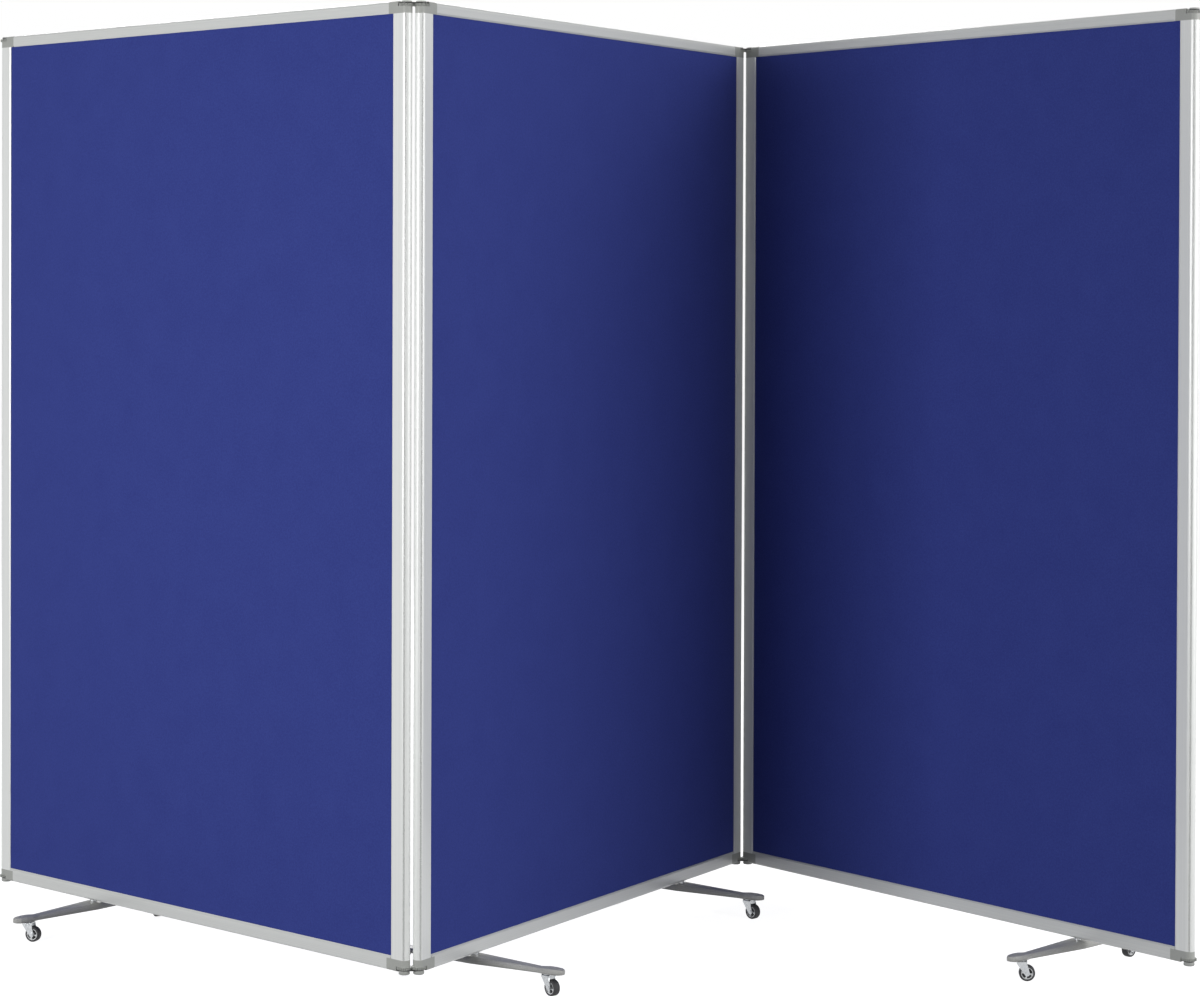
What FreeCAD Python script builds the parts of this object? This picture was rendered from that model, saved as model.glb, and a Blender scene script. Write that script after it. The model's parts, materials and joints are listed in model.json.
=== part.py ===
import FreeCAD, Part
import math
import os
from FreeCAD import Placement, Rotation, Vector

# Folding pinboard screen: three framed felt panels on geared hinges, standing on four caster legs.
# Millimetres. +X runs along the row to the right, +Y away from the viewer, +Z up from the floor.

# Panel frame
panel_width = 1200.0            # over the two round edges of one panel
panel_top = 1800.0              # floor to the top of the top rail
panel_underside = 58.0          # floor to the underside of the bottom rail
frame_thickness = 21.0
stile_face = 25.0               # hinge axis to the edge of the felt
top_rail_face = 22.0
bottom_rail_face = 27.0
extrusion_wall = 2.0
rail_chamber_height = 6.0
rail_side_wall = 3.0
rail_edge_radius = 5.0
stile_groove_depth = 12.0
lip_bevel_width = 3.0
lip_bevel_depth = 1.6
flute_angle = 52.0              # either side of straight outwards
flute_radius = 2.2
flute_depth = 0.8

# Board
felt_recess = 2.5               # frame face to felt face
felt_thickness = 2.0
board_side_clearance = 0.15
board_edge_clearance = 0.5

# Corner bodies
corner_arm = 35.0               # hinge axis to the end of the corner's arm
plug_length = 30.0
plug_clearance = 0.15

# Geared hinge
hinge_pitch = 26.0              # between the two spindles of one hinge
spindle_radius = 6.0
spindle_flat = 4.5              # axis to each of the spindle's two flats
key_clearance = 0.05
running_clearance = 0.08
link_thickness = 2.0
link_rim = 3.5                  # metal around the spindle hole
link_gap = 0.2                  # above and below the link plate
ring_height = 4.5
tooth_count = 26
tooth_addendum = 0.8
tooth_dedendum = 1.1
tooth_backlash = 0.3
tooth_flank_angle = 25.0        # from straight outwards
ring_clearance = 1.3            # tooth tips to the hollow in the corner
cap_radius = 9.75
cap_seat = 2.5                  # height of each cap inside the corner
bottom_cap_drop = 4.5           # by which the lower caps stand out below the rail
cap_chamfer = 1.0
spindle_in_cap = 1.5

# Panels as they stand
middle_turn_angle = 57.6        # middle panel from the row's direction
left_fold_angle = 100.3         # 0 is in line with the middle panel, 180 is folded flat
right_fold_angle = 108.4

# Legs, each foot measured from the nearest hinge axis of its panel
left_foot_inset = 287.0
middle_left_foot_inset = 182.0
middle_right_foot_inset = 235.0
right_foot_inset = 263.0
leg_reach = 195.0               # panel's middle plane to the tip
leg_root_half_width = 20.0
leg_waist_inset = 53.0          # leg's tip to the narrowest place
leg_waist_half_width = 11.0
leg_waist_fall = 5.0            # from the top in the middle
leg_pad_inset = 37.0            # leg's tip to the pad over the caster
leg_pad_half_width = 14.0
leg_pad_fall = 3.5
leg_tip_length = 22.0           # from where the underside starts to rise
leg_tip_angles = (0, 35, 65, 85)
leg_top = 54.5
leg_tip_fall = 3.0
leg_tip_rise = 1.5
leg_crown_angle = 5.0           # by which the top falls away from its ridge
leg_underside = 39.5
leg_side_bevel = 2.5
collar_radius = 7.0
collar_seat = 1.2               # by which the collar sits in the leg
leg_bolt_radius = 4.0
leg_bolt_head_radius = 6.5
leg_bolt_head_height = 5.0
leg_bolt_clearance = 0.2
leg_nut_width = 13.0
leg_nut_height = 5.0

# Casters
caster_inset = 35.0             # leg's tip to the swivel axis
wheel_radius = 15.0
tyre_width = 14.0
tyre_depth = 3.8
tyre_shoulder = 2.5
hub_boss_radius = 4.0
hub_boss_overhang = 0.2
hub_inset = 0.8                 # tyre's side to the face of the hub cover
hub_rim = 1.5                   # from the windows to the tyre
hub_window_count = 4
hub_window_angle = 66.0         # taken up by each window
hub_window_margin = 0.6
wheel_web = 4.0                 # disc of the wheel between its two hub covers
axle_radius = 2.0
axle_head_radius = 3.4
axle_head_height = 1.2
fork_trail = 11.0               # swivel axis to the axle
fork_sheet = 1.6
fork_side_gap = 0.4             # hub boss to each cheek
fork_top = 38.0
fork_front = 8.5                # swivel axis to the fork's front edge
fork_back = 11.0
fork_top_depth = 4.5            # straight side of the fork above its taper
fork_eye_radius = 5.0
fork_bend_radius = 2.2
stem_radius = 4.0
stem_in_leg = 8.0
stem_ring_radius = 9.5
stem_head_radius = 6.0
stem_head_height = 2.2
swivel_gap = 0.2

# Direction in which each caster's wheel trails, in degrees from +X
left_headings = {"front": -18.0, "rear": -60.0}
middle_left_headings = {"front": -48.0, "rear": 150.0}
middle_right_headings = {"front": -44.0, "rear": 140.0}
right_headings = {"front": -5.0, "rear": -139.0}

# Worked out from the sizes above
half_thickness = frame_thickness / 2
axis_span = panel_width - frame_thickness
felt_plane = half_thickness - felt_recess
groove_half = felt_plane + board_side_clearance
stile_groove_x = stile_face - stile_groove_depth
lip_edge = half_thickness - lip_bevel_depth
rail_groove = 2 * extrusion_wall + rail_chamber_height
rail_chamber_half = half_thickness - rail_side_wall
chamber_half = half_thickness - extrusion_wall
chamber_end = stile_groove_x - extrusion_wall
corner_height = top_rail_face
panel_middle = Vector(axis_span / 2, 0, (panel_underside + panel_top) / 2)
link_level = cap_seat + link_gap
link_top = link_level + link_thickness
ring_start = link_top + link_gap
ring_end = ring_start + ring_height
pitch_radius = hinge_pitch / 2
ring_tip = pitch_radius + tooth_addendum
pocket_radius = ring_tip + ring_clearance
link_radius = spindle_radius + link_rim
leg_waist_reach = leg_reach - leg_waist_inset
leg_pad_reach = leg_reach - leg_pad_inset
caster_reach = leg_reach - caster_inset
tread_bore = wheel_radius - tyre_depth
hub_bore = axle_radius + running_clearance
hub_half = tyre_width / 2 + hub_boss_overhang
web_half = wheel_web / 2
fork_inner_half = hub_half + fork_side_gap
fork_outer_half = fork_inner_half + fork_sheet
UP = Vector(0, 0, 1)
ACROSS = Vector(0, 1, 0)


def outline(start, *steps):
    """A flat face: each step is the next corner, or a (point on the way, end) pair for an arc."""
    edges = []
    here = start
    for step in steps + (start,):
        if isinstance(step, tuple):
            edges.append(Part.Arc(here, step[0], step[1]).toShape())
            here = step[1]
        elif (step - here).Length > 1e-6:
            edges.append(Part.LineSegment(here, step).toShape())
            here = step
    return Part.Face(Part.Wire(edges))


def block(low, high):
    size = high - low
    return Part.makeBox(size.x, size.y, size.z, low)


def post(radius, bottom, top, x=0.0, y=0.0):
    return Part.makeCylinder(radius, top - bottom, Vector(x, y, bottom), UP)


def moved(shape, x=0.0, y=0.0, z=0.0, turn=0.0):
    """A copy turned about Z and then shifted."""
    copy = shape.copy()
    copy.Placement = Placement(Vector(x, y, z), Rotation(UP, turn)).multiply(copy.Placement)
    return copy


def other_end(shape):
    """The same piece at the other upright edge of its panel."""
    copy = shape.copy()
    copy.rotate(panel_middle, UP, 180)
    return copy


def other_edge(shape):
    """The same piece turned over to the other end and the other rail of its panel."""
    copy = shape.copy()
    copy.rotate(panel_middle, ACROSS, 180)
    return copy


def all_corners(shape):
    ends = [shape, other_end(shape)]
    return Part.makeCompound(ends + [other_edge(piece) for piece in ends])


# Upright extrusion: full-round edge with two flutes, a chamber for the corner's plug and a groove
def stile_chamber(clearance):
    half = chamber_half - clearance
    end = chamber_end - clearance
    arc = (Vector(-half, 0), Vector(0, -half))
    return outline(Vector(0, half), arc, Vector(end, -half), Vector(end, half))


def stile():
    half = half_thickness
    bevel_start = stile_face - lip_bevel_width
    section = outline(
        Vector(0, half),
        (Vector(-half, 0), Vector(0, -half)),
        Vector(bevel_start, -half),
        Vector(stile_face, -lip_edge),
        Vector(stile_face, -groove_half),
        Vector(stile_groove_x, -groove_half),
        Vector(stile_groove_x, groove_half),
        Vector(stile_face, groove_half),
        Vector(stile_face, lip_edge),
        Vector(bevel_start, half),
    )
    section = section.cut(stile_chamber(0.0))
    reach = half + flute_radius - flute_depth
    for side in (-1, 1):
        angle = math.radians(180 + side * flute_angle)
        centre = Vector(reach * math.cos(angle), reach * math.sin(angle), 0)
        section = section.cut(Part.Face(Part.Wire(Part.makeCircle(flute_radius, centre))))
    bottom = panel_underside + corner_height
    length = panel_top - top_rail_face - bottom
    return moved(section.Faces[0].extrude(UP * length), z=bottom)


# Rails, drawn for the bottom edge: height counts from the rail's outer face
def rail_outline(face_height, bevelled):
    half = half_thickness
    flat = half - rail_edge_radius
    corner = rail_edge_radius * (1 - math.sqrt(0.5))
    inner = [Vector(0, half, face_height), Vector(0, -half, face_height)]
    if bevelled:
        low = face_height - lip_bevel_width
        inner = [Vector(0, half, low), Vector(0, lip_edge, face_height),
                 Vector(0, -lip_edge, face_height), Vector(0, -half, low)]
    return outline(
        *inner,
        Vector(0, -half, rail_edge_radius),
        (Vector(0, corner - half, corner), Vector(0, -flat, 0)),
        Vector(0, flat, 0),
        (Vector(0, half - corner, corner), Vector(0, half, rail_edge_radius)),
    )


def rail(face_height):
    length = axis_span - 2 * stile_face
    start = Vector(stile_face, 0, 0)
    body = rail_outline(face_height, True).extrude(Vector(length, 0, 0))
    body.translate(start)
    end = stile_face + length
    groove = block(Vector(stile_face, -groove_half, rail_groove), Vector(end, groove_half, face_height))
    chamber = block(Vector(stile_face, -rail_chamber_half, extrusion_wall),
                    Vector(end, rail_chamber_half, extrusion_wall + rail_chamber_height))
    body = body.cut([groove, chamber])
    left_notch = block(Vector(stile_face, -frame_thickness, 0),
                       Vector(corner_arm, frame_thickness, corner_height))
    right_notch = left_notch.copy()
    right_notch.translate(Vector(axis_span - stile_face - corner_arm, 0, 0))
    return body.cut([left_notch, right_notch])


def bottom_rail(foot_places):
    holes = [post(leg_bolt_radius + leg_bolt_clearance, 0, extrusion_wall, x) for x in foot_places]
    return moved(rail(bottom_rail_face).cut(holes), z=panel_underside)


def top_rail():
    return other_edge(moved(rail(top_rail_face), z=panel_underside))


# Corner: round nose, arm in line with the rail, plugs into stile and rail, and the hinge spindle
def keyed_post(radius, flat, bottom, top):
    sides = block(Vector(-2 * radius, -flat, bottom), Vector(2 * radius, flat, top))
    return post(radius, bottom, top).common(sides)


def corner_body():
    half = half_thickness
    arm = rail_outline(corner_height, False).extrude(Vector(corner_arm, 0, 0))
    nose = post(half, 0, corner_height)
    hollow = post(pocket_radius, 0, ring_end)
    groove = block(Vector(stile_groove_x, -groove_half, rail_groove),
                   Vector(corner_arm, groove_half, corner_height))
    body = arm.fuse(nose).cut([hollow, groove])
    spindle = keyed_post(spindle_radius, spindle_flat, cap_seat - spindle_in_cap, ring_end)
    stile_plug = moved(stile_chamber(plug_clearance).extrude(UP * plug_length), z=corner_height)
    plug_half = rail_chamber_half - plug_clearance
    plug_low = extrusion_wall + plug_clearance
    plug_high = extrusion_wall + rail_chamber_height - plug_clearance
    rail_plug = block(Vector(corner_arm, -plug_half, plug_low),
                      Vector(corner_arm + plug_length, plug_half, plug_high))
    return moved(body.fuse([spindle, stile_plug, rail_plug]).removeSplitter(), z=panel_underside)


# Toothed ring keyed to the spindle: stub teeth with straight flanks
def gear_ring(first_tooth):
    half_tooth = pitch_radius * math.sin(math.pi / (2 * tooth_count)) - tooth_backlash / 2
    slope = math.tan(math.radians(tooth_flank_angle))
    tip_half = half_tooth - tooth_addendum * slope
    root_half = half_tooth + tooth_dedendum * slope
    root = pitch_radius - tooth_dedendum
    corners = []
    for tooth in range(tooth_count):
        centre = first_tooth + 2 * math.pi * tooth / tooth_count
        for radius, side in ((root, -root_half), (ring_tip, -tip_half),
                             (ring_tip, tip_half), (root, root_half)):
            angle = centre + math.asin(side / radius)
            corners.append(Vector(radius * math.cos(angle), radius * math.sin(angle), ring_start))
    blank = outline(*corners).extrude(UP * ring_height)
    bore = keyed_post(spindle_radius + key_clearance, spindle_flat + key_clearance, ring_start, ring_end)
    return blank.cut(bore)


def axle_cap(drop):
    """Cap seated in the corner's hollow, standing out from the rail by the drop."""
    disc = post(cap_radius, -drop, cap_seat)
    rim = [edge for edge in disc.Edges if edge.BoundBox.ZMax < (cap_seat - drop) / 2]
    disc = disc.makeChamfer(cap_chamfer, rim)
    socket = keyed_post(spindle_radius + key_clearance, spindle_flat + key_clearance,
                        cap_seat - spindle_in_cap, cap_seat)
    return moved(disc.cut(socket), z=panel_underside)


def panel_axle_caps():
    """The lower caps stand out below the rail and the upper ones end level with it."""
    lower = axle_cap(bottom_cap_drop)
    upper = other_edge(axle_cap(0.0))
    return Part.makeCompound([lower, other_end(lower), upper, other_end(upper)])


def at_both_rails(shape):
    """A piece of a hinge's stack, modelled from the rail's underside up, and its twin at the top rail."""
    lower = moved(shape, z=panel_underside)
    upper = other_edge(other_end(lower))
    return [lower, upper]


def panel_gear_rings():
    """A gap points straight out of the left end and a tooth out of the right, so any two ends mesh."""
    left = gear_ring(math.pi + math.pi / tooth_count)
    right = moved(gear_ring(0.0), x=axis_span)
    return Part.makeCompound(at_both_rails(left) + at_both_rails(right))


def link_eye(radius, x):
    return post(radius, link_level, link_top, x)


def spacer_washers():
    hole = link_eye(spindle_radius + running_clearance, 0)
    return Part.makeCompound(at_both_rails(link_eye(link_radius, 0).cut(hole)))


def link_plates():
    """Oblong plates from a spindle at the origin to one at +X, at both rails."""
    ends = [link_eye(link_radius, x) for x in (0, hinge_pitch)]
    holes = [link_eye(spindle_radius + running_clearance, x) for x in (0, hinge_pitch)]
    bar = block(Vector(0, -link_radius, link_level), Vector(hinge_pitch, link_radius, link_top))
    plate = bar.fuse(ends).cut(holes).removeSplitter()
    return Part.makeCompound(at_both_rails(plate))


# Board and felt
def board_layer(front, back):
    edge = stile_groove_x + board_edge_clearance
    rim = rail_groove + board_edge_clearance
    return block(Vector(edge, front, panel_underside + rim), Vector(axis_span - edge, back, panel_top - rim))


def core_board():
    half = felt_plane - felt_thickness
    return board_layer(-half, half)


def felt_sheets():
    face = felt_plane - felt_thickness
    return Part.makeCompound([board_layer(-felt_plane, -face), board_layer(face, felt_plane)])


# Leg: tapered bar with a ridged top, a pad over each caster and a collar up to the rail
def leg_section(reach, half_width, bevel, low, ridge):
    """Flat underside, upright sides with bevels and two slopes that meet in a ridge."""
    flat = half_width - bevel
    eaves = ridge - flat * math.tan(math.radians(leg_crown_angle))
    third = (eaves - low) / 3
    side = [(flat, low), (half_width, low + third), (half_width, eaves - third), (flat, eaves)]
    around = side + [(0, ridge)] + [(-x, z) for x, z in reversed(side)]
    return outline(*[Vector(x, reach, z) for x, z in around]).OuterWire


def leg():
    tip_start = leg_reach - leg_tip_length
    pad_top = leg_top - leg_pad_fall
    root = leg_section(0, leg_root_half_width, leg_side_bevel, leg_underside, leg_top)
    waist = leg_section(leg_waist_reach, leg_waist_half_width, leg_side_bevel,
                        leg_underside, leg_top - leg_waist_fall)
    pad = leg_section(leg_pad_reach, leg_pad_half_width, leg_side_bevel, leg_underside, pad_top)
    rounds = []
    for angle in leg_tip_angles:
        closing = 1 - math.cos(math.radians(angle))
        rounds.append(leg_section(
            tip_start + leg_tip_length * math.sin(math.radians(angle)),
            leg_pad_half_width * (1 - closing),
            leg_side_bevel * (1 - closing),
            leg_underside + leg_tip_rise * closing,
            pad_top - leg_tip_fall * closing,
        ))
    half = Part.makeLoft([root, waist, pad] + rounds, True, True)
    bar = half.fuse(moved(half, turn=180))
    shank = post(leg_bolt_radius + leg_bolt_clearance, leg_underside, leg_top)
    seat = post(collar_radius + key_clearance, leg_top - collar_seat, panel_underside)
    head_radius = leg_bolt_head_radius + leg_bolt_clearance
    head = post(head_radius, leg_underside, leg_underside + leg_bolt_head_height)
    sockets = [post(stem_radius + key_clearance, leg_underside, leg_underside + stem_in_leg, 0, y)
               for y in (-caster_reach, caster_reach)]
    return bar.cut([shank, head, seat] + sockets).removeSplitter()


def leg_collar():
    low = leg_top - collar_seat
    hole = post(leg_bolt_radius + leg_bolt_clearance, low, panel_underside)
    return post(collar_radius, low, panel_underside).cut(hole)


def leg_bolt():
    head_top = leg_underside + leg_bolt_head_height
    end = panel_underside + extrusion_wall + leg_nut_height
    return post(leg_bolt_head_radius, leg_underside, head_top).fuse(post(leg_bolt_radius, head_top, end))


def leg_nut():
    half = leg_nut_width / 2
    low = panel_underside + extrusion_wall
    nut = block(Vector(-half, -half, low), Vector(half, half, low + leg_nut_height))
    return nut.cut(post(leg_bolt_radius + running_clearance, low, low + leg_nut_height))


# Caster, modelled with its swivel axis on the origin and its wheel trailing towards +X
def caster_stem():
    plate_low = fork_top - fork_sheet
    head_top = plate_low - swivel_gap
    shank = post(stem_radius, head_top, leg_underside + stem_in_leg)
    ring = post(stem_ring_radius, fork_top + swivel_gap, leg_underside)
    head = post(stem_head_radius, head_top - stem_head_height, head_top)
    return shank.fuse([ring, head]).removeSplitter()


def wheel_disc(radius, half_width):
    side = Vector(fork_trail, -half_width, wheel_radius)
    return Part.makeCylinder(radius, 2 * half_width, side, ACROSS)


def caster_fork():
    shoulder = fork_top - fork_top_depth
    lean = math.atan2(fork_trail + fork_front, shoulder - wheel_radius)
    front_eye = Vector(fork_trail - fork_eye_radius * math.cos(lean), 0,
                       wheel_radius - fork_eye_radius * math.sin(lean))
    side = outline(
        Vector(-fork_front, 0, fork_top),
        Vector(-fork_front, 0, shoulder),
        front_eye,
        (Vector(fork_trail, 0, wheel_radius - fork_eye_radius),
         Vector(fork_trail + fork_eye_radius, 0, wheel_radius)),
        Vector(fork_back, 0, shoulder),
        Vector(fork_back, 0, fork_top),
    )
    side.translate(Vector(0, -fork_outer_half, 0))
    shell = side.extrude(Vector(0, 2 * fork_outer_half, 0))
    bends = [edge for edge in shell.Edges
             if edge.BoundBox.ZMin > fork_top - fork_sheet and edge.BoundBox.YLength < fork_sheet]
    shell = shell.makeFillet(fork_bend_radius, bends)
    inside = block(Vector(-2 * fork_front, -fork_inner_half, 0),
                   Vector(2 * fork_back + fork_trail, fork_inner_half, fork_top - fork_sheet))
    stem_hole = post(stem_radius + running_clearance, fork_top - fork_sheet, fork_top)
    axle_hole = wheel_disc(axle_radius + key_clearance, fork_outer_half)
    return shell.cut([inside, stem_hole, axle_hole])


def caster_axle():
    heads = wheel_disc(axle_head_radius, fork_outer_half + axle_head_height)
    heads = heads.cut(wheel_disc(axle_head_radius, fork_outer_half))
    return heads.fuse(wheel_disc(axle_radius, fork_outer_half)).removeSplitter()


def wheel_point(radius, across):
    """A point of a wheel's section: distance from the axle and from the wheel's middle plane."""
    return Vector(fork_trail + radius, across, wheel_radius)


def hub_covers():
    """A cover with a boss on each side of the wheel, pierced by kidney-shaped windows."""
    face = tyre_width / 2 - hub_inset
    corners = [(hub_bore, web_half), (hub_bore, hub_half), (hub_boss_radius, hub_half),
               (hub_boss_radius, face), (tread_bore, face), (tread_bore, web_half)]
    cover = outline(*[wheel_point(*corner) for corner in corners]).revolve(wheel_point(0, 0), ACROSS, 360)
    inner = hub_boss_radius + hub_window_margin
    outer = tread_bore - hub_rim
    section = outline(wheel_point(inner, web_half), wheel_point(outer, web_half),
                      wheel_point(outer, face), wheel_point(inner, face))
    kidney = section.revolve(wheel_point(0, 0), ACROSS, hub_window_angle)
    windows = []
    for number in range(hub_window_count):
        window = kidney.copy()
        window.rotate(wheel_point(0, 0), ACROSS, number * 360 / hub_window_count)
        windows.append(window)
    cover = cover.cut(windows)
    twin = cover.copy()
    twin.rotate(wheel_point(0, 0), UP, 180)
    return Part.makeCompound([cover, twin])


def caster_tyre():
    """Tread, two slopes down each shoulder, flat sides and a disc in to the axle."""
    half = tyre_width / 2
    flat = half - tyre_shoulder
    side = wheel_radius - tyre_shoulder
    bulge = tyre_shoulder * math.sqrt(0.5)
    section = outline(
        wheel_point(hub_bore, -web_half),
        wheel_point(tread_bore, -web_half),
        wheel_point(tread_bore, -half),
        wheel_point(side, -half),
        wheel_point(side + bulge, -flat - bulge),
        wheel_point(wheel_radius, -flat),
        wheel_point(wheel_radius, flat),
        wheel_point(side + bulge, flat + bulge),
        wheel_point(side, half),
        wheel_point(tread_bore, half),
        wheel_point(tread_bore, web_half),
        wheel_point(hub_bore, web_half),
    )
    return section.revolve(wheel_point(0, 0), ACROSS, 360)


# Plan of the row: each panel is placed by its left hinge axis and its direction
def direction(degrees):
    return Vector(math.cos(math.radians(degrees)), math.sin(math.radians(degrees)), 0)


left_turn = middle_turn_angle - left_fold_angle
right_turn = middle_turn_angle - right_fold_angle
left_link_turn = (left_turn + middle_turn_angle) / 2
right_link_turn = (middle_turn_angle + right_turn) / 2
middle_left_axis = Vector(0, 0, 0)
middle_right_axis = middle_left_axis + direction(middle_turn_angle) * axis_span
left_right_axis = middle_left_axis - direction(left_link_turn) * hinge_pitch
left_left_axis = left_right_axis - direction(left_turn) * axis_span
right_left_axis = middle_right_axis + direction(right_link_turn) * hinge_pitch

panels = {
    "left": (left_left_axis, left_turn, {"left": left_foot_inset}),
    "middle": (middle_left_axis, middle_turn_angle, {
        "middle_left": middle_left_foot_inset,
        "middle_right": axis_span - middle_right_foot_inset,
    }),
    "right": (right_left_axis, right_turn, {"right": axis_span - right_foot_inset}),
}
headings = {
    "left": left_headings,
    "middle_left": middle_left_headings,
    "middle_right": middle_right_headings,
    "right": right_headings,
}
sides = {"front": -caster_reach, "rear": caster_reach}

pieces = {}
stem_places = {}

for panel, (axis, turn, feet) in panels.items():
    frame = {
        "core_board": core_board(),
        "felt_sheets": felt_sheets(),
        "stiles": Part.makeCompound([stile(), other_end(stile())]),
        "top_rail": top_rail(),
        "bottom_rail": bottom_rail(list(feet.values())),
        "corner_bodies": all_corners(corner_body()),
        "gear_rings": panel_gear_rings(),
        "axle_caps": panel_axle_caps(),
    }
    if panel == "left":
        frame["spacer_washers"] = spacer_washers()
    if panel == "right":
        frame["spacer_washers"] = other_end(spacer_washers())
    fixings = []
    for foot, place in feet.items():
        pieces[foot + "_leg"] = moved(moved(leg(), x=place), axis.x, axis.y, 0, turn)
        fixings += [moved(piece, x=place) for piece in (leg_bolt(), leg_nut(), leg_collar())]
        for side, reach in sides.items():
            fixings.append(moved(caster_stem(), x=place, y=reach))
            stem = axis + Rotation(UP, turn).multVec(Vector(place, reach, 0))
            stem_places[foot + "_" + side] = stem
            heading = headings[foot][side]
            caster = {
                "fork": Part.makeCompound([caster_fork(), caster_axle()]),
                "hub": hub_covers(),
                "tyre": caster_tyre(),
            }
            for name, shape in caster.items():
                pieces[foot + "_" + side + "_caster_" + name] = moved(shape, stem.x, stem.y, 0, heading)
    frame["foot_fixings"] = Part.makeCompound(fixings)
    for name, shape in frame.items():
        pieces[panel + "_" + name] = moved(shape, axis.x, axis.y, 0, turn)

links = {"left": (left_right_axis, left_link_turn), "right": (middle_right_axis, right_link_turn)}
for side, (axis, turn) in links.items():
    pieces[side + "_link_plates"] = moved(link_plates(), axis.x, axis.y, 0, turn)

# The origin is on the floor under the middle of the whole row
bounds = Part.makeCompound(list(pieces.values())).optimalBoundingBox(False)
row_centre = Vector(bounds.Center.x, bounds.Center.y, 0)

os.makedirs("parts", exist_ok=True)
for name, shape in pieces.items():
    shape.translate(-row_centre)
    shape.exportStep("parts/" + name + ".step")
    print(name, "solids", len(shape.Solids), "volume", round(shape.Volume), "valid", shape.isValid())
print("row size", round(bounds.XLength, 1), round(bounds.YLength, 1), round(bounds.ZLength, 1))
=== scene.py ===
# %% [markdown]
# # A folding pinboard screen
# Three felt boards in aluminium frames stand in a zigzag on geared hinges and caster legs. The
# CAD frame already holds every rigid piece at its real size and place. This lesson dresses it: it
# gives each piece its finish, makes the felt and the small moulded details, and sets up the
# studio.

# %% Load the frame
import json
import math

import bpy
from mathutils import Matrix, Vector


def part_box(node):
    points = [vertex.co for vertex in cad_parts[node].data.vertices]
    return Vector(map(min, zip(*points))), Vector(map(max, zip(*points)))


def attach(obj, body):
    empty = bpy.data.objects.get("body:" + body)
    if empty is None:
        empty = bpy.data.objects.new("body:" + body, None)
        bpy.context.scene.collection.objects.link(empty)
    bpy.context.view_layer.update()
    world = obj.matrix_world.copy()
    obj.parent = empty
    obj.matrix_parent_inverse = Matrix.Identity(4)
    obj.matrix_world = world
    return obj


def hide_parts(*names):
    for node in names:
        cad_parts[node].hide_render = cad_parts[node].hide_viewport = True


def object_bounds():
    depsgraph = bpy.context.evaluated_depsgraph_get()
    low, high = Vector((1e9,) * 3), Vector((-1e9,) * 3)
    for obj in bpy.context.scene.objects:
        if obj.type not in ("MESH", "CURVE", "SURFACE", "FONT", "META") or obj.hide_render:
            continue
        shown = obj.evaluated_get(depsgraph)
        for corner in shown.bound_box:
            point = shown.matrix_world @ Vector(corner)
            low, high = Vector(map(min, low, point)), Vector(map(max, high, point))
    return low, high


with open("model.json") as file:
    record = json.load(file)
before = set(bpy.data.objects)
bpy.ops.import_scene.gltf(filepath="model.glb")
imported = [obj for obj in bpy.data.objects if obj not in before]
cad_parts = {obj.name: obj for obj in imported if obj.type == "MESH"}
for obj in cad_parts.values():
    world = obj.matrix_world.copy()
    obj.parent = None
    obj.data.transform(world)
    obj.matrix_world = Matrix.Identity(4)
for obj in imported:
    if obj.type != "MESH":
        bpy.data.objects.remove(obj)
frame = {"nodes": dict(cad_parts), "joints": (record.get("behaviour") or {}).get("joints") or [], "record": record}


def rounded(numbers):
    """A place or a colour, short enough to print."""
    return [round(number, 4) for number in numbers]


cad_low, cad_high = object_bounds()
nodes = frame["nodes"]
joint_places = {joint["name"]: Vector(joint["pos_m"]) for joint in frame["joints"]}
mounts = {mount["name"]: mount for mount in frame["record"]["mounts"]}
print("CAD box", rounded(cad_low), rounded(cad_high), "nodes", len(nodes))

# %% [markdown]
# ## The camera
# The corners of the felt in the photograph fix the lens, the place and the tilt of the camera. It
# stood about five metres in front of the left hinge, a little above chest height, with the lens
# shifted down. A shifted lens keeps the uprights straight, where a tilted camera would make them
# lean. Working from the hinge axis ties the view to the part and not to the overall box.

# %% Camera
photo_width = 1200
photo_height = 996
focal_pixels = 2887.8
axis_pixel = Vector((556.0, 318.0))
from_left_hinge = Vector((0.2432, -5.1762, 1.2949))
tilt_down = math.radians(0.682)
roll = math.radians(0.177)

camera_data = bpy.data.cameras.new("photo_camera")
camera_data.sensor_fit = "HORIZONTAL"
camera_data.lens = camera_data.sensor_width * focal_pixels / photo_width
camera_data.shift_x = (photo_width / 2 - axis_pixel.x) / photo_width
camera_data.shift_y = (axis_pixel.y - photo_height / 2) / photo_width
camera = bpy.data.objects.new("photo_camera", camera_data)
bpy.context.scene.collection.objects.link(camera)
turned = Matrix.Rotation(math.radians(90) - tilt_down, 4, "X") @ Matrix.Rotation(roll, 4, "Z")
stand = joint_places["left_link_fold"] + from_left_hinge
camera.matrix_world = Matrix.Translation(stand) @ turned
bpy.context.scene.camera = camera
print("lens", round(camera_data.lens, 1), "mm, at", rounded(stand))

# %% [markdown]
# ## Helpers for every node tree
# Colours are written as the hex values that a colour picker shows, and shaders work in linear
# light, so one function converts them. Another adds a node, sets it up and links it, for shader
# trees and geometry trees alike. The third starts a material with the values that are the same
# all over its surface.

# %% Colour and node helpers
def linear(hex_colour):
    """Linear RGBA of an sRGB hex colour."""
    channels = [int(hex_colour[start:start + 2], 16) / 255 for start in (1, 3, 5)]
    return [c / 12.92 if c <= 0.04045 else ((c + 0.055) / 1.055) ** 2.4 for c in channels] + [1.0]


def add(tree, kind, inputs=None, **settings):
    """A node of that kind: settings are its properties, an input is a value or another output."""
    node = tree.nodes.new(kind)
    for name, value in settings.items():
        setattr(node, name, value)
    for name, value in (inputs or {}).items():
        if isinstance(value, bpy.types.NodeSocket):
            tree.links.new(value, node.inputs[name])
        else:
            node.inputs[name].default_value = value
    return node


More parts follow.
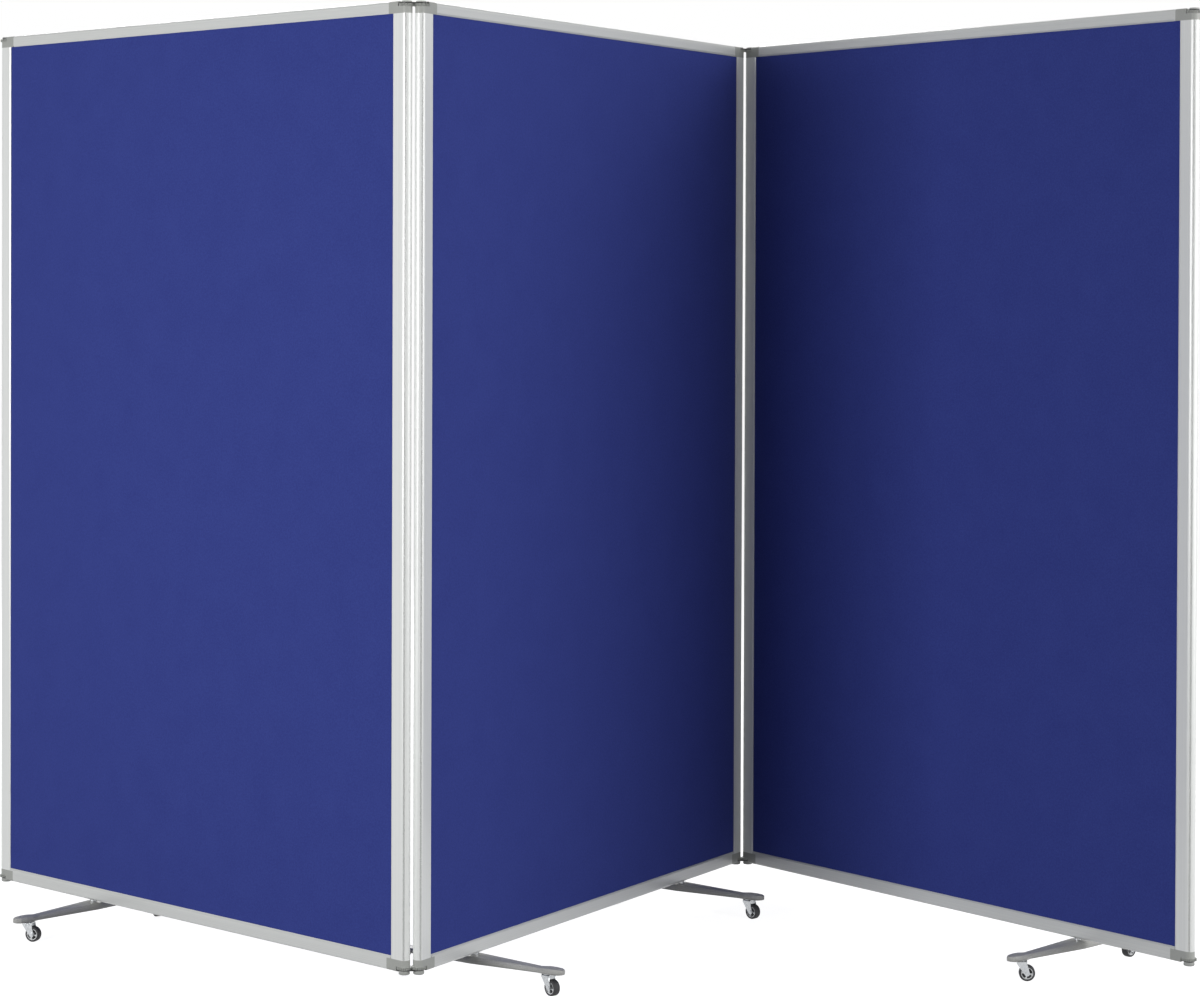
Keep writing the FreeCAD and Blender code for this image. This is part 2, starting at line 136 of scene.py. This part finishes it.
def start_finish(name, **sockets):
    """A new material, its node tree and its shader, with the sockets that are the same all over."""
    material = bpy.data.materials.new(name)
    material.use_nodes = True
    shader = material.node_tree.nodes["Principled BSDF"]
    for socket, value in sockets.items():
        shader.inputs[socket.replace("_", " ")].default_value = value
    return material, material.node_tree, shader


millimetre = 0.001
print("half grey", rounded(linear("#808080")))

# %% [markdown]
# ## Needle felt
# The boards are covered in polyester needle felt: loose fibres punched into a mat, with no weave.
# The eye reads a dull, even blue with a faint mottle where fibres bunch, and a soft bloom when it
# is seen along the surface. Two noises mottle the colour, the finer one also raises the nap, and
# a little sheen gives the bloom. Real fibres are a twentieth of a millimetre thick, far too fine
# for this view, so the tufts are drawn a few millimetres wide.

# %% Felt finish
felt_tuft = 3.0 * millimetre
felt_cloud = 60.0 * millimetre
cloud_share = 0.2
nap_height = 0.4 * millimetre
felt, tree, shader = start_finish("Needle_felt_royal_blue", Roughness=0.95, Sheen_Weight=0.15,
                                  Sheen_Roughness=0.4, Sheen_Tint=linear("#C9CCE0"),
                                  Specular_IOR_Level=0.15)
place = add(tree, "ShaderNodeTexCoord").outputs["Object"]
tufts = add(tree, "ShaderNodeTexNoise", {"Vector": place, "Scale": 1 / felt_tuft, "Detail": 3.0,
                                         "Roughness": 0.6})
clouds = add(tree, "ShaderNodeTexNoise", {"Vector": place, "Scale": 1 / felt_cloud, "Detail": 2.0})
mottle = add(tree, "ShaderNodeMix", {"Factor": cloud_share, "A": tufts.outputs["Fac"],
                                     "B": clouds.outputs["Fac"]})
blues = add(tree, "ShaderNodeValToRGB", {"Fac": mottle.outputs["Result"]})
stops = zip(blues.color_ramp.elements, (0.35, 0.65), ("#333E87", "#3B4792"))
for stop, position, colour in stops:
    stop.position = position
    stop.color = linear(colour)
nap = add(tree, "ShaderNodeBump", {"Height": tufts.outputs["Fac"], "Strength": 0.35,
                                   "Distance": nap_height})
tree.links.new(blues.outputs["Color"], shader.inputs["Base Color"])
tree.links.new(nap.outputs["Normal"], shader.inputs["Normal"])
print("felt tufts", felt_tuft / millimetre, "mm across")

# %% [markdown]
# ## Anodised aluminium
# Stiles and rails are extruded, etched and clear anodised. The etched oxide film scatters most of
# the light like pale paint and mirrors only a little of it, so the metallic value stays far below
# that of bare metal, and the bars show soft highlights on a light grey. The press die leaves faint
# lines along each bar, and a noise that is stretched along the bar draws them. The narrow flutes of
# the stiles get painted shade, so that they read as dark lines: Ambient Occlusion finds the flutes
# by how little open space they see and darkens the colour there, where a painted mask would need a
# UV map of every bar. The stiles stand upright and the rails lie level, and the rails get a darker
# grey as painted shade for the darker surroundings they mirror, so one function makes two finishes.

# %% Aluminium finishes
die_line = 1.2 * millimetre  # real lines are far finer: this is what the view can show
die_line_depth = 0.03 * millimetre
die_line_length = 2000  # times its width
satin_gloss = (0.26, 0.34)
# Painted shade: the colour is darkened in the stiles' flutes, where a point sees little open space.
flute_reach = 3.0 * millimetre
darkest_shade_openness = 0.86  # share of open space around a point at which the painted shade is darkest
painted_flute_shade = 0.25


def anodised_aluminium(name, stretch, dark, light):
    """Satin metal with die lines: stretch is how many times longer they are along X, Y and Z."""
    material, tree, shader = start_finish(name, Metallic=0.05, Specular_IOR_Level=0.8)
    place = add(tree, "ShaderNodeTexCoord").outputs["Object"]
    along = add(tree, "ShaderNodeMapping", {"Vector": place,
                                            "Scale": [1 / times for times in stretch]})
    lines = add(tree, "ShaderNodeTexNoise", {"Vector": along.outputs["Vector"],
                                             "Scale": 1 / die_line, "Detail": 2.0})
    silver = add(tree, "ShaderNodeValToRGB", {"Fac": lines.outputs["Fac"]})
    for stop, position, colour in zip(silver.color_ramp.elements, (0.3, 0.7), (dark, light)):
        stop.position = position
        stop.color = linear(colour)
    # Painted shade in the flutes: ambient occlusion darkens the base colour in the hollows.
    hollows = add(tree, "ShaderNodeAmbientOcclusion", {"Distance": flute_reach}, samples=8,
                  only_local=True)
    flute_shade_factor = add(tree, "ShaderNodeMapRange", {"Value": hollows.outputs["AO"],
                                             "From Min": darkest_shade_openness, "From Max": 1.0,
                                             "To Min": painted_flute_shade, "To Max": 1.0})
    shaded_silver = add(tree, "ShaderNodeVectorMath", {0: silver.outputs["Color"],
                                               "Scale": flute_shade_factor.outputs["Result"]}, operation="SCALE")
    satin = add(tree, "ShaderNodeMapRange", {"Value": lines.outputs["Fac"],
                                             "To Min": satin_gloss[0], "To Max": satin_gloss[1]})
    relief = add(tree, "ShaderNodeBump", {"Height": lines.outputs["Fac"], "Strength": 0.1,
                                          "Distance": die_line_depth})
    tree.links.new(shaded_silver.outputs["Vector"], shader.inputs["Base Color"])
    tree.links.new(satin.outputs["Result"], shader.inputs["Roughness"])
    tree.links.new(relief.outputs["Normal"], shader.inputs["Normal"])
    return material


upright_aluminium = anodised_aluminium("Anodised_aluminium_upright_bars", (1, 1, die_line_length),
                                       "#E0E2E1", "#EAECEA")
# The level bars' darker grey is painted shade for the darker surroundings that level bars mirror.
level_aluminium = anodised_aluminium("Anodised_aluminium_level_bars",
                                     (die_line_length, die_line_length, 1), "#CACCCB", "#D4D6D4")
print("aluminium finishes", upright_aluminium.name, level_aluminium.name)

# %% [markdown]
# ## Moulded, coated and plated pieces
# The other pieces differ in colour, gloss and grain, but their surfaces are made alike in the
# shader: a fine grain moves the colour a little, changes the gloss and raises a bump. One function
# makes that from the two ends of a colour range, the two ends of a roughness range, and the width
# and height of the grain in millimetres. Most real grains are finer than this view can show, so
# they are drawn one to four millimetres wide.

# %% Grained finishes
def grained(name, dark, light, gloss, grain, height, **sockets):
    """A finish whose grain, in millimetres, moves its colour, its roughness and its height."""
    material, tree, shader = start_finish(name, **sockets)
    place = add(tree, "ShaderNodeTexCoord").outputs["Object"]
    speckle = add(tree, "ShaderNodeTexNoise", {"Vector": place, "Scale": 1 / (grain * millimetre),
                                               "Detail": 3.0})
    colours = add(tree, "ShaderNodeValToRGB", {"Fac": speckle.outputs["Fac"]})
    for stop, position, colour in zip(colours.color_ramp.elements, (0.3, 0.7), (dark, light)):
        stop.position = position
        stop.color = linear(colour)
    dullness = add(tree, "ShaderNodeMapRange", {"Value": speckle.outputs["Fac"],
                                                "To Min": gloss[0], "To Max": gloss[1]})
    relief = add(tree, "ShaderNodeBump", {"Height": speckle.outputs["Fac"], "Strength": 0.3,
                                          "Distance": height * millimetre})
    tree.links.new(colours.outputs["Color"], shader.inputs["Base Color"])
    tree.links.new(dullness.outputs["Result"], shader.inputs["Roughness"])
    tree.links.new(relief.outputs["Normal"], shader.inputs["Normal"])
    return material


# Nylon moulded in a spark-eroded tool: dull grey with a fine even grain
corner_nylon = grained("Moulded_nylon_mid_grey", "#A0A29E", "#ACAEAA", (0.45, 0.6), 1.0, 0.08)
cap_nylon = grained("Moulded_nylon_light_grey", "#A2A4A1", "#AEB0AD", (0.4, 0.55), 1.0, 0.05)
# Steel dipped in black paint: nearly black, with a satin gloss
black_steel = grained("Black_coated_steel", "#161616", "#222222", (0.35, 0.5), 1.5, 0.03)
# Die-cast metal under powder coat: mid grey, slightly wavy like orange peel
powder_coat = grained("Powder_coated_casting_grey", "#A8A8A5", "#B4B4B1", (0.3, 0.4), 2.5, 0.08,
                      Specular_IOR_Level=0.3)
# Pressed steel, zinc plated: bright and bluish, with cloudy patches
zinc = grained("Bright_zinc_plate", "#B0B3B5", "#C4C6C8", (0.22, 0.34), 4.0, 0.02, Metallic=1.0)
# Nylon with a silver pigment: light grey and smooth
hub_nylon = grained("Silver_grey_nylon", "#CCCECF", "#D8DADB", (0.25, 0.35), 1.5, 0.02,
                    Metallic=0.3)
# Solid rubber: dark grey and dull, paler where dust clings
tyre_rubber = grained("Dark_grey_rubber", "#232325", "#303032", (0.6, 0.75), 2.0, 0.06)
# Pressed fibreboard, seen only when the felt is off: brown, coarse and dry
fibreboard = grained("Raw_soft_fibreboard", "#8F7550", "#B0946A", (0.85, 0.95), 3.0, 0.2)
print("grained finishes from", corner_nylon.name, "to", fibreboard.name)

# %% [markdown]
# ## A finish for each CAD piece
# The CAD nodes are named for their place and their kind, such as left_core_board. The ending of
# the name tells the kind, so a table of endings is enough to dress all of them, and a new leg or
# caster would find its finish by itself.

# %% Dress the CAD nodes
finishes = {
    "core_board": fibreboard,
    "felt_sheets": felt,
    "stiles": upright_aluminium,
    "rail": level_aluminium,
    "corner_bodies": corner_nylon,
    "gear_rings": corner_nylon,
    "axle_caps": cap_nylon,
    "spacer_washers": black_steel,
    "link_plates": black_steel,
    "foot_fixings": zinc,
    "leg": powder_coat,
    "fork": zinc,
    "hub": hub_nylon,
    "tyre": tyre_rubber,
}
for name, node in nodes.items():
    ending = next(ending for ending in finishes if name.endswith(ending))
    node.data.materials.clear()
    node.data.materials.append(finishes[ending])
print("finished", len(nodes), "CAD nodes with", len(set(finishes.values())), "materials")

# %% [markdown]
# ## Meshes from Geometry Nodes
# A geometry tree is a recipe with named sizes. To use one, an object gets the tree as a modifier,
# its inputs are set by their identifiers, and the evaluated result is copied to a plain mesh that
# no longer needs the tree. The mesh is later moved to its place in its own vertices, so the object
# stays at the origin like the CAD nodes do.

# %% From tree to mesh
def new_tree(name, **sizes):
    """A geometry tree with an input for each size, its input sockets and its output node."""
    tree = bpy.data.node_groups.new(name, "GeometryNodeTree")
    tree.interface.new_socket("Geometry", in_out="INPUT", socket_type="NodeSocketGeometry")
    tree.interface.new_socket("Geometry", in_out="OUTPUT", socket_type="NodeSocketGeometry")
    for size, kind in sizes.items():
        tree.interface.new_socket(size.replace("_", " "), in_out="INPUT",
                                  socket_type="NodeSocket" + kind)
    return tree, add(tree, "NodeGroupInput").outputs, add(tree, "NodeGroupOutput")


def grow(name, tree, sizes, seeds=()):
    """A plain mesh object from a tree, on seed points where the tree needs them."""
    start = bpy.data.meshes.new(name)
    start.from_pydata(seeds, [], [])
    grown = bpy.data.objects.new(name, start)
    bpy.context.scene.collection.objects.link(grown)
    modifier = grown.modifiers.new("shape", "NODES")
    modifier.node_group = tree
    for socket in tree.interface.items_tree:
        if socket.in_out == "INPUT" and socket.name in sizes:
            modifier[socket.identifier] = sizes[socket.name]
    evaluated = grown.evaluated_get(bpy.context.evaluated_depsgraph_get())
    mesh = bpy.data.meshes.new_from_object(evaluated)
    grown.modifiers.remove(modifier)
    grown.data = mesh
    bpy.data.meshes.remove(start)
    return grown


print("made the helpers", new_tree.__name__, "and", grow.__name__)

# %% [markdown]
# ## The felt sheets
# Each board has one sheet of felt on its face and one on its back, glued down and tucked into the
# grooves of the frame. A glued mat is flat but never perfect, so the tree makes a grid and sinks
# it by a slow noise of a few tenths of a millimetre. Solidify then gives the sheet its thickness.
# The CAD solid gives its width and height, and the pin-face mounts say where its outer face lies.

# %% Felt tree
felt_tree, given, result = new_tree("felt_sheet", Width="Float", Height="Float", Columns="Int",
                                    Rows="Int", Ripple="Float", Ripple_Length="Float",
                                    Seed="Float", Finish="Material")
grid = add(felt_tree, "GeometryNodeMeshGrid", {
    "Size X": given["Width"], "Size Y": given["Height"],
    "Vertices X": given["Columns"], "Vertices Y": given["Rows"],
})
pitch = add(felt_tree, "ShaderNodeMath", {0: 1.0, 1: given["Ripple Length"]}, operation="DIVIDE")
swell = add(felt_tree, "ShaderNodeTexNoise", {"W": given["Seed"], "Scale": pitch.outputs[0],
                                              "Detail": 1.0}, noise_dimensions="4D")
lift = add(felt_tree, "ShaderNodeMath", {0: swell.outputs["Fac"], 1: given["Ripple"]},
           operation="MULTIPLY")
sink = add(felt_tree, "ShaderNodeMath", {0: lift.outputs[0], 1: given["Ripple"]},
           operation="SUBTRACT")
offset = add(felt_tree, "ShaderNodeCombineXYZ", {"Z": sink.outputs[0]})
rippled = add(felt_tree, "GeometryNodeSetPosition", {"Geometry": grid.outputs["Mesh"],
                                                     "Offset": offset.outputs["Vector"]})
whole = add(felt_tree, "GeometryNodeRealizeInstances", {"Geometry": rippled.outputs["Geometry"]})
coloured = add(felt_tree, "GeometryNodeSetMaterial", {"Geometry": whole.outputs["Geometry"],
                                                      "Material": given["Finish"]})
felt_tree.links.new(coloured.outputs["Geometry"], result.inputs["Geometry"])
print("felt tree has", len(felt_tree.nodes), "nodes")

# %% Felt sheets
def reach(node, direction):
    """How far a CAD node spreads along a direction, in metres."""
    along = [vertex.co.dot(direction) for vertex in nodes[node].data.vertices]
    return max(along) - min(along)


felt_cell = 20 * millimetre
felt_thickness = 2 * millimetre
felt_ripple = 0.3 * millimetre
felt_ripple_length = 150 * millimetre
up = Vector((0, 0, 1))
for panel in ("left", "middle", "right"):
    solid = panel + "_felt_sheets"
    for number, face in enumerate(("front", "back")):
        mount = mounts[panel + "_pin_face_" + face]
        outward = Vector(mount["axis"])
        along = up.cross(outward)
        width = reach(solid, along)
        height = reach(solid, up)
        sheet = grow(panel + "_felt_" + face, felt_tree, {
            "Width": width, "Height": height,
            "Columns": round(width / felt_cell) + 1, "Rows": round(height / felt_cell) + 1,
            "Ripple": felt_ripple, "Ripple Length": felt_ripple_length,
            "Seed": number + len(panel), "Finish": felt,
        })
        low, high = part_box(solid)
        middle = Vector(mount["pos_m"])
        middle.z = (low[2] + high[2]) / 2
        turn = Matrix((along, up, outward)).transposed().to_4x4()
        sheet.data.transform(Matrix.Translation(middle) @ turn)
        thick = sheet.modifiers.new("thickness", "SOLIDIFY")
        thick.thickness = felt_thickness
        thick.offset = -1
        for polygon in sheet.data.polygons:
            polygon.use_smooth = True
        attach(sheet, panel + "_panel")
        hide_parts(solid)
    print(panel, "felt", round(width, 3), "by", round(height, 3), "m,",
          len(sheet.data.polygons), "faces a sheet")

# %% [markdown]
# ## Ribs on the axle caps
# The caps under each hinge stand out below the frame, and are moulded with fine ribs round the
# rim, so that fingers can pull them off. A tree sets one rib on each point of a circle, turns it
# to face outwards, and repeats that ring on both lower caps of a panel.

# %% Rib tree
rib_tree, given, result = new_tree("cap_ribs", Rim_Radius="Float", Rib_Count="Int",
                                   Rib_Size="Vector", Finish="Material")
rim = add(rib_tree, "GeometryNodeMeshCircle", {"Vertices": given["Rib Count"],
                                               "Radius": given["Rim Radius"]})
rib = add(rib_tree, "GeometryNodeMeshCube", {"Size": given["Rib Size"]})
spoke = add(rib_tree, "GeometryNodeInputPosition")
facing = add(rib_tree, "FunctionNodeAlignRotationToVector", {"Vector": spoke.outputs["Position"]},
             axis="X", pivot_axis="Z")
ring = add(rib_tree, "GeometryNodeInstanceOnPoints", {
    "Points": rim.outputs["Mesh"], "Instance": rib.outputs["Mesh"],
    "Rotation": facing.outputs["Rotation"],
})
rings = add(rib_tree, "GeometryNodeInstanceOnPoints", {"Points": given["Geometry"],
                                                       "Instance": ring.outputs["Instances"]})
ribs = add(rib_tree, "GeometryNodeRealizeInstances", {"Geometry": rings.outputs["Instances"]})
coloured = add(rib_tree, "GeometryNodeSetMaterial", {"Geometry": ribs.outputs["Geometry"],
                                                     "Material": given["Finish"]})
rib_tree.links.new(coloured.outputs["Geometry"], result.inputs["Geometry"])
print("rib tree has", len(rib_tree.nodes), "nodes")

# %% Cap ribs
cap_radius = 9.75 * millimetre
rib_count = 32
rib_size = Vector((0.5, 0.9, 2.8)) * millimetre
rib_above_rim = 1.3 * millimetre
free_end = {side: Vector(mounts[side + "_free_end"]["pos_m"]) for side in ("left", "right")}
spindles = {
    "left": (free_end["left"], joint_places["left_panel_fold"]),
    "middle": (joint_places["left_link_fold"], joint_places["right_link_fold"]),
    "right": (joint_places["right_panel_fold"], free_end["right"]),
}
for panel, places in spindles.items():
    cap_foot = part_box(panel + "_axle_caps")[0][2]
    level = cap_foot + rib_above_rim + rib_size.z / 2
    caps = [(place.x, place.y, level) for place in places]
    piece = grow(panel + "_cap_ribs", rib_tree, {
        "Rim Radius": cap_radius, "Rib Count": rib_count, "Rib Size": rib_size,
        "Finish": cap_nylon,
    }, caps)
    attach(piece, panel + "_panel")
    print(panel, "caps", len(caps), "rib faces", len(piece.data.polygons))

# %% [markdown]
# ## Studio
# A pale floor, a white surround and three large soft lamps, two in front and one behind. The lamps
# light the felt at a plain level. Floor and surround are white only for the eye and for
# reflections: Light Path tells those rays from the ones that carry light to the felt, so the white
# does not wash the colours out.

# %% Floor and surround
def seen_or_mirrored(tree):
    """1 for rays from the camera and for those that reach it by a reflection or through glass."""
    path = add(tree, "ShaderNodeLightPath").outputs
    either = add(tree, "ShaderNodeMath", {0: path["Is Camera Ray"], 1: path["Is Glossy Ray"]},
                 operation="MAXIMUM")
    return add(tree, "ShaderNodeMath", {0: either.outputs[0], 1: path["Is Transmission Ray"]},
               operation="MAXIMUM").outputs[0]


floor_reach = 30.0
surround_level = 0.13
floor_glow = 0.94
white = linear("#FFFFFF")
world = bpy.data.worlds.new("white_studio")
bpy.context.scene.world = world
world.use_nodes = True
tree = world.node_tree
tree.nodes.clear()
seen = add(tree, "ShaderNodeBackground", {"Color": white, "Strength": 1.0})
lighting = add(tree, "ShaderNodeBackground", {"Color": white, "Strength": surround_level})
chosen = add(tree, "ShaderNodeMixShader", {0: seen_or_mirrored(tree), 1: lighting.outputs[0],
                                           2: seen.outputs[0]})
add(tree, "ShaderNodeOutputWorld", {"Surface": chosen.outputs[0]})

floor_finish, tree, shader = start_finish("Pale_studio_floor", Roughness=0.9,
                                          Specular_IOR_Level=0.0, Base_Color=linear("#989898"),
                                          Emission_Color=white)
glow = add(tree, "ShaderNodeMath", {0: seen_or_mirrored(tree), 1: floor_glow},
           operation="MULTIPLY")
tree.links.new(glow.outputs[0], shader.inputs["Emission Strength"])
square = ((-1, -1), (1, -1), (1, 1), (-1, 1))
corners = [(x * floor_reach, y * floor_reach, 0) for x, y in square]
floor_mesh = bpy.data.meshes.new("studio_floor")
floor_mesh.from_pydata(corners, [], [(0, 1, 2, 3)])
floor_mesh.materials.append(floor_finish)
floor = bpy.data.objects.new("studio_floor", floor_mesh)
bpy.context.scene.collection.objects.link(floor)
print("floor", 2 * floor_reach, "m square")

# %% Lamps
def softbox(name, azimuth, elevation, distance, size, watts):
    """A square lamp that looks at the middle of the screen; azimuth counts from +X towards +Y."""
    lamp = bpy.data.lights.new(name, "AREA")
    lamp.size = size
    lamp.energy = watts
    target = Vector((0, 0, cad_high[2] / 2))
    azimuth = math.radians(azimuth)
    elevation = math.radians(elevation)
    level = Vector((math.cos(azimuth), math.sin(azimuth), 0))
    away = level * math.cos(elevation) + up * math.sin(elevation)
    holder = bpy.data.objects.new(name, lamp)
    holder.location = target + away * distance
    holder.rotation_euler = away.to_track_quat("Z", "Y").to_euler()
    bpy.context.scene.collection.objects.link(holder)


# Azimuth and elevation in degrees, distance and size in metres, power in watts
lamps = {
    "left_softbox": (225, 8, 5.0, 2.1, 142),
    "right_softbox": (333, 13, 5.0, 3.8, 176),
    "back_softbox": (100, 30, 6.0, 3.0, 240),
}
for name, settings in lamps.items():
    softbox(name, *settings)
bpy.context.scene.view_settings.view_transform = "Standard"
print("lamps", list(lamps))
